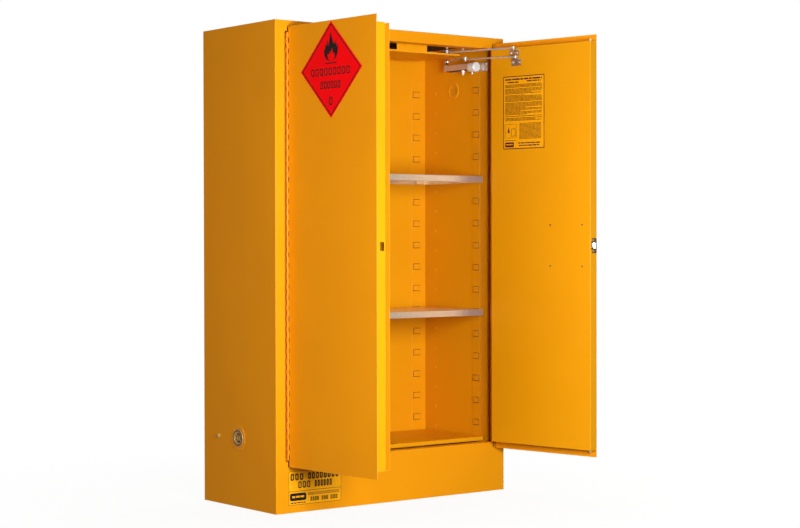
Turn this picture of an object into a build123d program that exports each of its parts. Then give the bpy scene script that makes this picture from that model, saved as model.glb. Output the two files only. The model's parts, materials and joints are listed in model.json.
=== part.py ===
from build123d import *
from math import cos, radians, sin
import os

# Flammable storage cabinet: a double-walled sheet-steel carcass over a spill sump, two galvanised
# shelves and a bottom shelf, and a pair of double-walled doors on continuous hinges. Each door is
# shut by a hydraulic closer and guided by a second linkage under the ceiling. The right door holds
# a paddle handle that draws a latch tongue and a top and a bottom bolt.
# Millimetres, +Z up. The origin is on the floor at the centre of the carcass footprint, the front
# faces -Y, and both doors stand open.

# ---------------------------------------------------------------- driving dimensions
WIDTH = 1110.0
DEPTH = 500.0
HEIGHT = 1825.0
SHEET = 1.2
BEND = 1.8
WALL = 40.0
STILE = 42.5
REVEAL_DEPTH = 34.0
LINER_FRONT = 60.0
HEADER_BOTTOM = 1781.0
SILL_TOP = 196.0
CEILING = 1790.0
SUMP_FLOOR = 40.0

LEFT_OPEN = 86.5
RIGHT_OPEN = 99.8
HINGE_IN = 47.75
HINGE_OUT = 6.5
BARREL_RADIUS = 4.0
PIN_RADIUS = 2.4
RUNNING_GAP = 0.05
HINGE_BOTTOM = 198.0
HINGE_TOP = 1779.0
KNUCKLE_PAIRS = 40
KNUCKLE_GAP = 0.3
LEAF = 1.5
FRAME_LEAF_DEPTH = 26.0

SKIN_EDGE = 4.4
SKIN_FACE = 3.4
NOTCH = 7.2
DOOR_GAP = 5.0
DOOR_THICK = 40.0
SKIN_BOTTOM = 174.0
SKIN_TOP = 1801.0
HEM = 15.0
PAN_EDGE = 13.1
PAN_BOTTOM = 202.5
PAN_TOP = 1774.0
ASTRAGAL_LAP = 20.0
ASTRAGAL_OFFSET = 1.0

LATCH_Z = 990.0
HANDLE_U = 389.0
CUP_WIDTH = 150.0
CUP_HEIGHT = 156.0
CUP_DEPTH = 24.0
CUP_FLANGE = 9.0
CUP_CORNER = 12.0
FLANGE_THICK = 1.6
PADDLE_HALF = 62.0
PADDLE_RISE = 62.0
PADDLE_DROP = 48.0
PADDLE_DEPTH = 8.0
PADDLE_BARREL = 5.0
PADDLE_PIN = 3.0
LOCK_RADIUS = 10.0
LOCK_RISE = 22.0
FIXING_U = 77.0
FIXING_Z = 80.0
TONGUE_HALF = 10.0
TONGUE_V = (16.0, 26.0)
TONGUE_INSIDE = 24.0
TONGUE_OUTSIDE = 9.0
TONGUE_BEVEL = 7.0
CASE_DEEP = 38.0
CASE_V = (6.0, 36.0)
CASE_HALF = 34.0
CASE_WALL = 2.0
PLATE_HALF = 29.0
PLATE_V = (1.0, 28.0)
PLATE_SCREW = 21.3
BOLT_U = 489.0
BOLT_V = 22.0
BOLT_RADIUS = 5.0
BOLT_REACH = 8.0
BOLT_START = 50.0

SHELF_TOPS = (1272.0, 730.0)
SHELF_LIP = 26.0
BOTTOM_SHELF_TOP = 212.0
SHELF_FRONT = 73.0
SHELF_BACK = 450.0
SHELF_HALF = 506.5
TAB_FIRST = 266.5
TAB_PITCH = 90.5
TAB_COUNT = 16
TAB_WIDTH = 33.0
TAB_HEIGHT = 22.0
TAB_PROUD = 4.0
UPRIGHT_WIDTH = 49.0
UPRIGHT_PROUD = 2.0
UPRIGHT_TOP = 1680.0
SIDE_UPRIGHT_Y = 123.5
BACK_UPRIGHT_X = 467.0

CLIP_HALF = 14.0
CLIP_REACH = 8.0
CLIP_THICK = 2.0
CLIP_DROP = 24.3

VENT_RADIUS = 34.0
VENT_BORE = 25.5
VENT_TUBE = 30.0
VENT_BEAD = (41.0, 46.0)
BUNG_DEPTH = 16.0
BUNG_PROUD = 1.5
KEY_BOSS = 9.0
KEY_HALF = 6.0
SCREEN_PITCH = 6.0
SCREEN_HOLE = 1.8
LOW_VENT = (256.0, 262.0)
HIGH_VENT = (267.0, 1630.0)
EARTH = (395.0, 260.0)

ROD_RADIUS = 3.0
EYE_RADIUS = 7.0
EYE_HALF = 3.2
PIVOT_RADIUS = 2.9
ELBOW_Z = 1745.0
LOWER_Z = 1734.0
UPPER_Z = 1771.0
LOWER_PIVOT = (151.4, 61.4)
UPPER_PIVOT = (141.4, 61.4)
PLATE_BEFORE = 33.0
PLATE_AFTER = 15.0
PLATE_THICK = 2.0
EAR_BELOW = 5.0
EAR_THICK = 3.0
EAR_HALF = 9.0
SCREW_OFFSETS = (-25.0, 7.0)
SCREW_RADIUS = 4.5
SCREW_HEAD = 2.8
PIVOT_CLEARANCE = 0.4
SPINDLE = (478.0, 266.0)
CRANK = (411.0, 290.0)
CHANNEL_Y = 100.0
CHANNEL_HALF = 410.0
CHANNEL_BOTTOM = 1755.0
CHANNEL_LIP = 14.0
WINDOWS = ((-88.0, 88.0), (240.0, 404.0), (-404.0, -240.0))
ARM_THICK = 4.1
ARM_WIDTH = 16.0
ARM_HUB = 10.0
SPINDLE_RADIUS = 5.0
CRANK_THICK = 4.0
CRANK_WIDTH = 18.0
HEAD_RADIUS = 5.0
CLOSER_TOP = 1732.0
CLOSER_FRONT = 62.0
CLOSER_BACK = 296.0
CYLINDER_X = 486.0
CYLINDER_RADIUS = 21.0
CYLINDER_LENGTH = 88.0
CYLINDER_CAP = 16.0

# ---------------------------------------------------------------- worked out from them
FRONT = -DEPTH / 2
BACK = DEPTH / 2
SIDE = WIDTH / 2
INNER_SIDE = SIDE - WALL
INNER_BACK = BACK - WALL
REVEAL = SIDE - STILE
HINGE_X = SIDE - HINGE_IN
HINGE_Y = FRONT - HINGE_OUT
DOOR_END = HINGE_X - DOOR_GAP / 2
PAN_FRONT = SKIN_FACE + SHEET
PAN_INNER = SKIN_FACE + DOOR_THICK
PADDLE_TOP = LATCH_Z + PADDLE_RISE
PADDLE_BOTTOM = LATCH_Z - PADDLE_DROP
PADDLE_V = SKIN_FACE + PADDLE_DEPTH
LEFT = -1
RIGHT = 1
SIDES = ((LEFT, "left", LEFT_OPEN), (RIGHT, "right", RIGHT_OPEN))

os.makedirs("parts", exist_ok=True)


# ---------------------------------------------------------------- helpers
def write(part, name):
    """Labels a finished part and writes its STEP file."""
    part.label = name
    export_step(part, f"parts/{name}.step")


def block(plane, low, high, mode=Mode.ADD):
    """Adds the box between two corners, measured along the plane's own directions."""
    with BuildSketch(plane.offset(low[2])) as outline:
        with Locations(((low[0] + high[0]) / 2, (low[1] + high[1]) / 2)):
            Rectangle(abs(high[0] - low[0]), abs(high[1] - low[1]))
    extrude(outline.sketch, amount=high[2] - low[2], mode=mode)


def disc(plane, centre, radius, low, high, mode=Mode.ADD):
    """Adds a round bar along the plane's normal, from low to high."""
    with BuildSketch(plane.offset(low)) as outline:
        with Locations(centre):
            Circle(radius)
    extrude(outline.sketch, amount=high - low, mode=mode)


def at_front(y):
    """Turns a distance behind the cabinet's front face into the model's Y."""
    return FRONT + y


def span(side, near, far):
    """Gives the low and high X of a stretch that mirrors from side to side."""
    return min(side * near, side * far), max(side * near, side * far)


def wall_block(side, near, far, y_low, y_high, z_low, z_high, mode=Mode.ADD):
    """Adds a box on one side of the cabinet, with Y measured back from the front face."""
    x_low, x_high = span(side, near, far)
    block(Plane.XY, (x_low, at_front(y_low), z_low), (x_high, at_front(y_high), z_high), mode)


def door_plane(side, opening):
    """The plane of a door: origin on the hinge axis, x along the door, z up."""
    angle = radians(opening)
    along = (-side * cos(angle), -sin(angle), 0)
    return Plane(origin=(side * HINGE_X, HINGE_Y, 0), x_dir=along, z_dir=(0, 0, 1))


def door_block(side, opening, low, high, mode=Mode.ADD):
    """Adds a box measured as (along the door, inwards from the hinge axis, height)."""
    v_low, v_high = sorted((-side * low[1], -side * high[1]))
    block(door_plane(side, opening), (low[0], v_low, low[2]), (high[0], v_high, high[2]), mode)


def door_disc(side, opening, centre, radius, low, high, mode=Mode.ADD):
    """Adds an upright round bar placed in the door's own directions."""
    disc(door_plane(side, opening), (centre[0], -side * centre[1]), radius, low, high, mode)


def door_point(side, opening, along, inward):
    """Gives the model's X and Y of a point on a door."""
    point = door_plane(side, opening).from_local_coords(Vector(along, -side * inward, 0))
    return point.X, point.Y


def face_plane(side, opening, inward):
    """A plane on the door, x along the door and y up, facing inwards from the given depth."""
    base = door_plane(side, opening)
    inner = base.y_dir * -side
    origin = base.from_local_coords(Vector(0, -side * inward, 0))
    return Plane(origin=origin, x_dir=base.x_dir, z_dir=inner)


def face_up(side, opening, inward, height):
    """Gives the sketch Y on a face plane that lies at a height above the floor."""
    plane = face_plane(side, opening, inward)
    return height * (1 if plane.y_dir.Z > 0 else -1)


def face_disc(side, opening, centre, radius, low, high, mode=Mode.ADD):
    """Adds a round bar through the door's thickness, at (along, height), from low to high."""
    plane = face_plane(side, opening, low)
    with BuildSketch(plane) as outline:
        with Locations((centre[0], face_up(side, opening, low, centre[1]))):
            Circle(radius)
    extrude(outline.sketch, amount=high - low, mode=mode)


def round_fold(builder, point):
    """Rounds the long edge of a folded sheet that passes through a point."""
    fillet(builder.edges().sort_by_distance(point)[0], radius=BEND)


def cut_knuckle_gaps(plane, across, width, depth, first):
    """Cuts every second knuckle away from a full-length barrel, leaving room for the other leaf's."""
    length = (HINGE_TOP - HINGE_BOTTOM) / (2 * KNUCKLE_PAIRS)
    flip = 1 if plane.y_dir.Z > 0 else -1
    bottoms = [HINGE_BOTTOM + (2 * pair + first) * length for pair in range(KNUCKLE_PAIRS)]
    with BuildSketch(plane) as gaps:
        with Locations(*[(across, flip * (bottom + length / 2)) for bottom in bottoms]):
            Rectangle(width, length + KNUCKLE_GAP)
    extrude(gaps.sketch, amount=depth, mode=Mode.SUBTRACT)


# ---------------------------------------------------------------- carcass shell
def vent_plane(side, vent):
    """A plane on the outer side wall at a vent, facing outwards."""
    return Plane(origin=(side * SIDE, at_front(vent[0]), vent[1]), x_dir=(0, 1, 0), z_dir=(side, 0, 0))


def vent_cut(side, vent):
    """Cuts a vent's hole through both walls of one side."""
    disc(vent_plane(side, vent), (0, 0), VENT_TUBE + 0.2, -WALL - 20, 20, Mode.SUBTRACT)


def make_side_panel(side, name):
    """One outer side with its front stile and the reveal that the hinge is fixed to."""
    vent = LOW_VENT if side == LEFT else HIGH_VENT
    with BuildPart() as panel:
        wall_block(side, SIDE - SHEET, SIDE, 0, DEPTH, 0, HEIGHT)
        wall_block(side, REVEAL, SIDE, 0, SHEET, 0, HEIGHT)
        wall_block(side, REVEAL, REVEAL + SHEET, 0, REVEAL_DEPTH, 0, HEIGHT - SHEET - 0.1)
        wall_block(side, SIDE - HEM, SIDE, DEPTH - SHEET, DEPTH, 0, HEIGHT)
        round_fold(panel, (side * SIDE, FRONT, HEIGHT / 2))
        round_fold(panel, (side * REVEAL, FRONT, HEIGHT / 2))
        if side == LEFT:
            with BuildSketch(vent_plane(side, vent)) as bead:
                Circle(VENT_BEAD[1])
                Circle(VENT_BEAD[0], mode=Mode.SUBTRACT)
            extrude(bead.sketch, amount=SHEET)
            disc(Plane.YZ, (at_front(EARTH[0]), EARTH[1]), 3.2, -SIDE - 5, -SIDE + 5, Mode.SUBTRACT)
        vent_cut(side, vent)
    write(panel.part, f"side_panel_{name}")


def make_top_panel():
    """The top sheet with the header folded down in front and the header's return behind it."""
    x_low, x_high = -SIDE + SHEET, SIDE - SHEET
    x_head = REVEAL - 0.1
    with BuildPart() as top:
        block(Plane.XY, (x_low, FRONT + SHEET, HEIGHT - SHEET), (x_high, BACK - SHEET, HEIGHT))
        block(Plane.XY, (-x_head, FRONT, HEADER_BOTTOM), (x_head, FRONT + SHEET, HEIGHT))
        behind = FRONT + LINER_FRONT
        block(Plane.XY, (-x_head, FRONT, HEADER_BOTTOM), (x_head, behind, HEADER_BOTTOM + SHEET))
        block(Plane.XY, (-x_head, behind - SHEET, HEADER_BOTTOM), (x_head, behind, CEILING))
        hole_x, hole_y = door_point(RIGHT, 0, BOLT_U, BOLT_V)
        hole = (hole_x, hole_y)
        disc(Plane.XY, hole, BOLT_RADIUS + 2, HEADER_BOTTOM - 5, HEADER_BOTTOM + 5, Mode.SUBTRACT)
        round_fold(top, (0, FRONT, HEIGHT))
        round_fold(top, (0, FRONT, HEADER_BOTTOM))
    write(top.part, "top_panel")


def make_back_panel():
    """The outer back sheet."""
    with BuildPart() as back:
        x = SIDE - HEM - 0.1
        block(Plane.XY, (-x, BACK - SHEET, 0), (x, BACK, HEIGHT - SHEET - 0.1))
    write(back.part, "back_panel")


def make_base_panel():
    """The sheet under the sump, with its edges turned up inside the side panels."""
    x = SIDE - SHEET - 0.1
    y_low, y_high = FRONT + SHEET + 0.1, BACK - SHEET - 0.1
    with BuildPart() as base:
        block(Plane.XY, (-x, y_low + REVEAL_DEPTH, 0), (x, y_high, SHEET))
        for side in (LEFT, RIGHT):
            low, high = span(side, x - SHEET, x)
            block(Plane.XY, (low, y_low + REVEAL_DEPTH, 0), (high, y_high, HEM))
    write(base.part, "base_panel")


def make_sill_panel():
    """The front of the base with the sill folded back over it to meet the sump."""
    x = REVEAL - 0.1
    with BuildPart() as sill:
        block(Plane.XY, (-x, FRONT, 0), (x, FRONT + SHEET, SILL_TOP))
        block(Plane.XY, (-x, FRONT, SILL_TOP - SHEET), (x, FRONT + WALL, SILL_TOP))
        block(Plane.XY, (-x, FRONT, 0), (x, FRONT + HEM, SHEET))
        hole_x, hole_y = door_point(RIGHT, 0, BOLT_U, BOLT_V)
        disc(Plane.XY, (hole_x, hole_y), BOLT_RADIUS + 2, SILL_TOP - 5, SILL_TOP + 5, Mode.SUBTRACT)
        round_fold(sill, (0, FRONT, SILL_TOP))
    write(sill.part, "sill_panel")


def make_liner_side(side, name):
    """One inner side wall, with a flange that closes the front of the air gap."""
    with BuildPart() as liner:
        wall_block(side, INNER_SIDE, INNER_SIDE + SHEET, LINER_FRONT, DEPTH - WALL, SUMP_FLOOR, CEILING)
        flange = (LINER_FRONT, LINER_FRONT + SHEET, SUMP_FLOOR, CEILING)
        wall_block(side, INNER_SIDE, SIDE - SHEET - 0.1, *flange)
        vent_cut(side, LOW_VENT if side == LEFT else HIGH_VENT)
    write(liner.part, f"liner_{name}")


def make_liner_back():
    """The inner back wall."""
    with BuildPart() as liner:
        block(Plane.XY, (-SIDE + 3, INNER_BACK, SUMP_FLOOR), (SIDE - 3, INNER_BACK + SHEET, CEILING))
    write(liner.part, "liner_back")


def make_liner_top():
    """The ceiling sheet over the compartment."""
    with BuildPart() as liner:
        block(
            Plane.XY,
            (-SIDE + 3, FRONT + LINER_FRONT + SHEET, CEILING),
            (SIDE - 3, INNER_BACK + SHEET, CEILING + SHEET),
        )
    write(liner.part, "liner_top")


def make_sump_tray():
    """The liquid-tight tray in the bottom of the compartment."""
    x = INNER_SIDE - 0.2
    y_low, y_high = FRONT + WALL + 0.2, INNER_BACK - 0.2
    with BuildPart() as tray:
        block(Plane.XY, (-x, y_low, SUMP_FLOOR), (x, y_high, SILL_TOP - 2))
        block(
            Plane.XY,
            (-x + SHEET, y_low + SHEET, SUMP_FLOOR + SHEET),
            (x - SHEET, y_high - SHEET, SILL_TOP + 2),
            Mode.SUBTRACT,
        )
    write(tray.part, "sump_tray")


# ---------------------------------------------------------------- shelves and their supports
def tab_heights():
    """Heights of the centres of the shelf tabs."""
    return [TAB_FIRST + TAB_PITCH * i for i in range(TAB_COUNT)]


def make_upright(plane, centre, name, flip):
    """A shallow channel on a wall, with lanced tabs that the shelf clips hook into."""
    low, high = SILL_TOP + 4, UPRIGHT_TOP
    with BuildPart() as upright:
        with BuildSketch(plane) as outline:
            with Locations((centre, flip * (low + high) / 2)):
                Rectangle(UPRIGHT_WIDTH, high - low)
        extrude(outline.sketch, amount=UPRIGHT_PROUD, taper=30)
        places = [(centre, flip * z) for z in tab_heights()]
        with BuildSketch(plane.offset(UPRIGHT_PROUD)) as tabs:
            with Locations(*places):
                Rectangle(TAB_WIDTH, TAB_HEIGHT)
        extrude(tabs.sketch, amount=TAB_PROUD, taper=25)
        with BuildSketch(plane.offset(UPRIGHT_PROUD)) as slots:
            with Locations(*places):
                Rectangle(TAB_WIDTH - 10, TAB_HEIGHT + 2)
        extrude(slots.sketch, amount=TAB_PROUD - 1.6, mode=Mode.SUBTRACT)
    write(upright.part, name)


def make_uprights():
    """The four uprights: one near the front of each side and two on the back wall."""
    for side, name, _ in SIDES:
        plane = Plane(origin=(side * INNER_SIDE, 0, 0), x_dir=(0, 1, 0), z_dir=(-side, 0, 0))
        flip = 1 if plane.y_dir.Z > 0 else -1
        make_upright(plane, at_front(SIDE_UPRIGHT_Y), f"upright_front_{name}", flip)
        plane = Plane(origin=(0, INNER_BACK, 0), x_dir=(1, 0, 0), z_dir=(0, -1, 0))
        make_upright(plane, side * BACK_UPRIGHT_X, f"upright_back_{name}", 1)


def make_shelf(top, lip, name):
    """A folded shelf: a flat deck with all four edges turned down and the front edge returned."""
    x = SHELF_HALF
    y_low, y_high = at_front(SHELF_FRONT), at_front(SHELF_BACK)
    with BuildPart() as shelf:
        block(Plane.XY, (-x, y_low, top - lip), (x, y_high, top))
        block(
            Plane.XY,
            (-x + SHEET, y_low + SHEET, top - lip - 1),
            (x - SHEET, y_high - SHEET, top - SHEET),
            Mode.SUBTRACT,
        )
        block(Plane.XY, (-x, y_low, top - lip), (x, y_low + HEM, top - lip + SHEET))
        fillet(shelf.faces().sort_by(Axis.Z)[-1].edges(), radius=BEND)
        round_fold(shelf, (0, y_low, top - lip))
    write(shelf.part, name)


def make_shelf_clips():
    """The clips under the corners of the two upper shelves, hooked over the tabs."""
    with BuildPart() as clips:
        for top in SHELF_TOPS:
            high = top - SHEET - 0.1
            low = high - CLIP_DROP
            for side in (LEFT, RIGHT):
                near = SHELF_HALF - SHEET - 0.1
                left, right = span(side, near - CLIP_REACH, near)
                y = at_front(SIDE_UPRIGHT_Y)
                block(Plane.XY, (left, y - CLIP_HALF, high - CLIP_THICK), (right, y + CLIP_HALF, high))
                block(Plane.XY, (left, y - CLIP_HALF, low), (left + CLIP_THICK, y + CLIP_HALF, high))
                x = side * BACK_UPRIGHT_X
                far = at_front(SHELF_BACK) - SHEET - 0.1
                start = far - CLIP_REACH
                block(Plane.XY, (x - CLIP_HALF, start, high - CLIP_THICK), (x + CLIP_HALF, far, high))
                block(Plane.XY, (x - CLIP_HALF, start, low), (x + CLIP_HALF, start + CLIP_THICK, high))
    write(clips.part, "shelf_clips")


# ---------------------------------------------------------------- vents and earth point
def make_vent_socket(side, vent, name):
    """A flanged tube through both walls, with a ring nut on the inner wall."""
    plane = vent_plane(side, vent)
    with BuildPart() as socket:
        disc(plane, (0, 0), VENT_TUBE, -WALL - 3, 0)
        disc(plane, (0, 0), VENT_RADIUS, 0, 3)
        disc(plane, (0, 0), VENT_RADIUS - 1, -WALL - 4, -WALL)
        disc(plane, (0, 0), VENT_BORE, -WALL - 10, 10, Mode.SUBTRACT)
        outer = socket.edges().filter_by(GeomType.CIRCLE).sort_by(SortBy.RADIUS)[-2:]
        chamfer(outer, length=0.8)
    write(socket.part, f"vent_socket_{name}")


def make_vent_bungs():
    """The screwed plugs that close both vents, each with a square key recess."""
    with BuildPart() as bungs:
        for side, vent in ((LEFT, LOW_VENT), (RIGHT, HIGH_VENT)):
            plane = vent_plane(side, vent)
            floor = 4 - BUNG_DEPTH
            disc(plane, (0, 0), VENT_BORE - RUNNING_GAP, -BUNG_DEPTH, BUNG_PROUD)
            disc(plane, (0, 0), VENT_BORE - 6, floor, 2, Mode.SUBTRACT)
            block(plane, (-KEY_BOSS, -KEY_BOSS, floor), (KEY_BOSS, KEY_BOSS, 1))
            block(plane, (-KEY_HALF, -KEY_HALF, floor + 4), (KEY_HALF, KEY_HALF, 2), Mode.SUBTRACT)
    write(bungs.part, "vent_bungs")


def make_flame_screens():
    """The perforated discs that stop a flame at the inner end of each vent."""
    with BuildPart() as screens:
        for side, vent in ((LEFT, LOW_VENT), (RIGHT, HIGH_VENT)):
            plane = vent_plane(side, vent)
            disc(plane, (0, 0), VENT_BORE - RUNNING_GAP, -WALL - 1, -WALL)
            with BuildSketch(plane.offset(-WALL - 2)) as holes:
                with GridLocations(SCREEN_PITCH, SCREEN_PITCH, 5, 5):
                    Circle(SCREEN_HOLE)
            extrude(holes.sketch, amount=4, mode=Mode.SUBTRACT)
    write(screens.part, "flame_screens")


def make_earth_screw():
    """The hexagon screw and washer of the earthing point."""
    plane = Plane(origin=(-SIDE, at_front(EARTH[0]), EARTH[1]), x_dir=(0, 1, 0), z_dir=(-1, 0, 0))
    with BuildPart() as screw:
        disc(plane, (0, 0), 8, 0, 1.4)
        with BuildSketch(plane.offset(1.4)) as head:
            RegularPolygon(radius=5.8, side_count=6)
        extrude(head.sketch, amount=4)
        disc(plane, (0, 0), 3, -12, 1.4)
    write(screw.part, "earth_screw")


# ---------------------------------------------------------------- hinges
def make_frame_leaf(side, name):
    """The hinge leaf on the frame's reveal, with its half of the knuckles."""
    axis = (side * HINGE_X, HINGE_Y)
    low, high = span(side, REVEAL - LEAF, REVEAL)
    reach = BARREL_RADIUS + 1
    with BuildPart() as leaf:
        disc(Plane.XY, axis, BARREL_RADIUS, HINGE_BOTTOM, HINGE_TOP)
        block(Plane.XY, (low, HINGE_Y, HINGE_BOTTOM), (high, at_front(FRAME_LEAF_DEPTH), HINGE_TOP))
        disc(Plane.XY, axis, PIN_RADIUS + RUNNING_GAP, HINGE_BOTTOM - 1, HINGE_TOP + 1, Mode.SUBTRACT)
        front = Plane(origin=(0, HINGE_Y - reach, 0), x_dir=(1, 0, 0), z_dir=(0, 1, 0))
        cut_knuckle_gaps(front, side * HINGE_X, 4 * BARREL_RADIUS, HINGE_OUT + reach, 1)
    write(leaf.part, f"hinge_leaf_frame_{name}")


def make_door_leaf(side, name, opening):
    """The hinge leaf on the back of a door skin, with the other half of the knuckles."""
    web = SKIN_EDGE - 0.1
    behind = PAN_FRONT + 0.1
    reach = BARREL_RADIUS + 1
    bore = PIN_RADIUS + RUNNING_GAP
    with BuildPart() as leaf:
        door_disc(side, opening, (0, 0), BARREL_RADIUS, HINGE_BOTTOM, HINGE_TOP)
        door_block(side, opening, (web - LEAF, 0, HINGE_BOTTOM), (web, behind + LEAF, HINGE_TOP))
        low = (web - LEAF, behind, HINGE_BOTTOM)
        door_block(side, opening, low, (PAN_EDGE - 0.3, behind + LEAF, HINGE_TOP))
        door_disc(side, opening, (0, 0), bore, HINGE_BOTTOM - 1, HINGE_TOP + 1, Mode.SUBTRACT)
        outside = face_plane(side, opening, -reach)
        cut_knuckle_gaps(outside, 0, 2 * NOTCH, reach + behind + 2 * LEAF, 0)
    write(leaf.part, f"hinge_leaf_door_{name}")


def make_hinge_pins():
    """The full-length pins of both hinges."""
    with BuildPart() as pins:
        for side in (LEFT, RIGHT):
            disc(Plane.XY, (side * HINGE_X, HINGE_Y), PIN_RADIUS, HINGE_BOTTOM - 0.6, HINGE_TOP + 0.6)
    write(pins.part, "hinge_pins")


# ---------------------------------------------------------------- doors
def make_door_skin(side, name, opening):
    """A door's outer sheet, with its top and bottom edges hemmed."""
    with BuildPart() as skin:
        door_block(side, opening, (SKIN_EDGE, SKIN_FACE, SKIN_BOTTOM), (DOOR_END, PAN_FRONT, SKIN_TOP))
        for z_low, z_high in ((SKIN_BOTTOM, SKIN_BOTTOM + HEM), (SKIN_TOP - HEM, SKIN_TOP)):
            door_block(
                side, opening, (SKIN_EDGE, PAN_FRONT, z_low), (DOOR_END, PAN_FRONT + SHEET, z_high)
            )
        cut_knuckle_gaps(face_plane(side, opening, 0), 0, 2 * NOTCH, 2 * PAN_FRONT, 0)
        if side == RIGHT:
            cup_block(opening, 0.3, SKIN_FACE - 1, PAN_FRONT + 1, Mode.SUBTRACT)
    write(skin.part, f"door_skin_{name}")


def cup_block(opening, margin, v_low, v_high, mode=Mode.ADD):
    """Adds a round-cornered block on the handle's centre, wider than the cup by a margin all round."""
    plane = face_plane(RIGHT, opening, v_low)
    with BuildSketch(plane) as outline:
        with Locations((HANDLE_U, face_up(RIGHT, opening, v_low, LATCH_Z))):
            RectangleRounded(CUP_WIDTH + 2 * margin, CUP_HEIGHT + 2 * margin, CUP_CORNER + margin)
    extrude(outline.sketch, amount=v_high - v_low, mode=mode)


def make_door_pan(side, name, opening):
    """A door's inner tray, closed against the skin, with the latch openings in its edges."""
    with BuildPart() as pan:
        door_block(side, opening, (PAN_EDGE, PAN_FRONT, PAN_BOTTOM), (DOOR_END, PAN_INNER, PAN_TOP))
        door_block(
            side,
            opening,
            (PAN_EDGE + SHEET, PAN_FRONT - 1, PAN_BOTTOM + SHEET),
            (DOOR_END - SHEET, PAN_INNER - SHEET, PAN_TOP - SHEET),
            Mode.SUBTRACT,
        )
        fillet(pan.faces().sort_by(SortBy.AREA)[-1].edges(), radius=BEND)
        door_block(
            side,
            opening,
            (DOOR_END - 5, SKIN_FACE + 15, LATCH_Z - 15.5),
            (DOOR_END + 5, SKIN_FACE + 34, LATCH_Z + 15.5),
            Mode.SUBTRACT,
        )
        if side == RIGHT:
            bolt = (BOLT_U, BOLT_V)
            for z in (PAN_BOTTOM, PAN_TOP):
                door_disc(side, opening, bolt, BOLT_RADIUS + 0.3, z - 4, z + 4, Mode.SUBTRACT)
    write(pan.part, f"door_pan_{name}")


def make_astragal(opening):
    """The lap strip on the left door that the right door closes against."""
    with BuildPart() as strip:
        start, lap = DOOR_END - 22, DOOR_END + ASTRAGAL_LAP
        step = PAN_INNER + ASTRAGAL_OFFSET
        door_block(LEFT, opening, (start, PAN_INNER, PAN_BOTTOM + 4), (DOOR_END - 2, step, PAN_TOP - 4))
        door_block(
            LEFT, opening, (start, step, PAN_BOTTOM + 4), (lap, step + SHEET, PAN_TOP - 4)
        )
    write(strip.part, "astragal")


# ---------------------------------------------------------------- latch and handle on the right door
def make_latch_plate(opening):
    """The plate screwed on the free edge around the latch tongue."""
    low = (DOOR_END, SKIN_FACE + PLATE_V[0], LATCH_Z - PLATE_HALF)
    high = (DOOR_END + 1, SKIN_FACE + PLATE_V[1], LATCH_Z + PLATE_HALF)
    with BuildPart() as plate:
        door_block(RIGHT, opening, low, high)
        door_block(
            RIGHT,
            opening,
            (DOOR_END - 1, SKIN_FACE + TONGUE_V[0] - 0.5, LATCH_Z - TONGUE_HALF - 1),
            (DOOR_END + 2, SKIN_FACE + TONGUE_V[1] + 0.5, LATCH_Z + TONGUE_HALF + 1),
            Mode.SUBTRACT,
        )
    write(plate.part, "latch_plate")


def make_latch_tongue(opening):
    """The bevelled tongue that slides out of the free edge."""
    u_low, u_high = DOOR_END - TONGUE_INSIDE, DOOR_END + TONGUE_OUTSIDE
    outer, inner = -(SKIN_FACE + TONGUE_V[0]), -(SKIN_FACE + TONGUE_V[1])
    with BuildPart() as tongue:
        with BuildSketch(door_plane(RIGHT, opening).offset(LATCH_Z - TONGUE_HALF)) as outline:
            with BuildLine():
                Polyline(
                    (u_low, inner),
                    (u_high - TONGUE_BEVEL, inner),
                    (u_high, outer - 4),
                    (u_high, outer),
                    (u_low, outer),
                    close=True,
                )
            make_face()
        extrude(outline.sketch, amount=2 * TONGUE_HALF)
    write(tongue.part, "latch_tongue")


def make_latch_case(opening):
    """The case inside the door that joins the paddle to the tongue and to both bolts."""
    low = (DOOR_END - CASE_DEEP, SKIN_FACE + CASE_V[0], LATCH_Z - CASE_HALF)
    high = (DOOR_END - SHEET - 0.1, SKIN_FACE + CASE_V[1], LATCH_Z + CASE_HALF)
    with BuildPart() as case:
        door_block(RIGHT, opening, low, high)
        door_block(
            RIGHT,
            opening,
            (low[0] + CASE_WALL, low[1] + CASE_WALL, low[2] - 1),
            (high[0] + 1, high[1] - CASE_WALL, high[2] + 1),
            Mode.SUBTRACT,
        )
    write(case.part, "latch_case")


def make_handle_cup(opening):
    """The pressed cup of the handle, flanged over the door skin."""
    front = SKIN_FACE - FLANGE_THICK
    bottom = SKIN_FACE + CUP_DEPTH
    with BuildPart() as cup:
        cup_block(opening, CUP_FLANGE, front, SKIN_FACE)
        cup_block(opening, 0, front, bottom)
        cup_block(opening, -SHEET, front - 1, bottom - SHEET, Mode.SUBTRACT)
    write(cup.part, "handle_cup")


def make_paddle(opening):
    """The pull paddle, hung on its pin at the top, with a turned-in grip edge at the bottom."""
    left, right = HANDLE_U - PADDLE_HALF, HANDLE_U + PADDLE_HALF
    front = PADDLE_V - 6
    with BuildPart() as paddle:
        door_block(RIGHT, opening, (left, front, PADDLE_BOTTOM), (right, front + 3, PADDLE_TOP - 2))
        door_block(RIGHT, opening, (left, front, PADDLE_BOTTOM), (right, front + 8, PADDLE_BOTTOM + 3))
        barrel(opening, left, right, PADDLE_BARREL)
        barrel(opening, left - 18, right + 18, PADDLE_PIN + RUNNING_GAP, Mode.SUBTRACT)
        lock = (HANDLE_U, LATCH_Z + LOCK_RISE)
        face_disc(RIGHT, opening, lock, LOCK_RADIUS + RUNNING_GAP, PADDLE_V - 8, PADDLE_V, Mode.SUBTRACT)
    write(paddle.part, "paddle")


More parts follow.
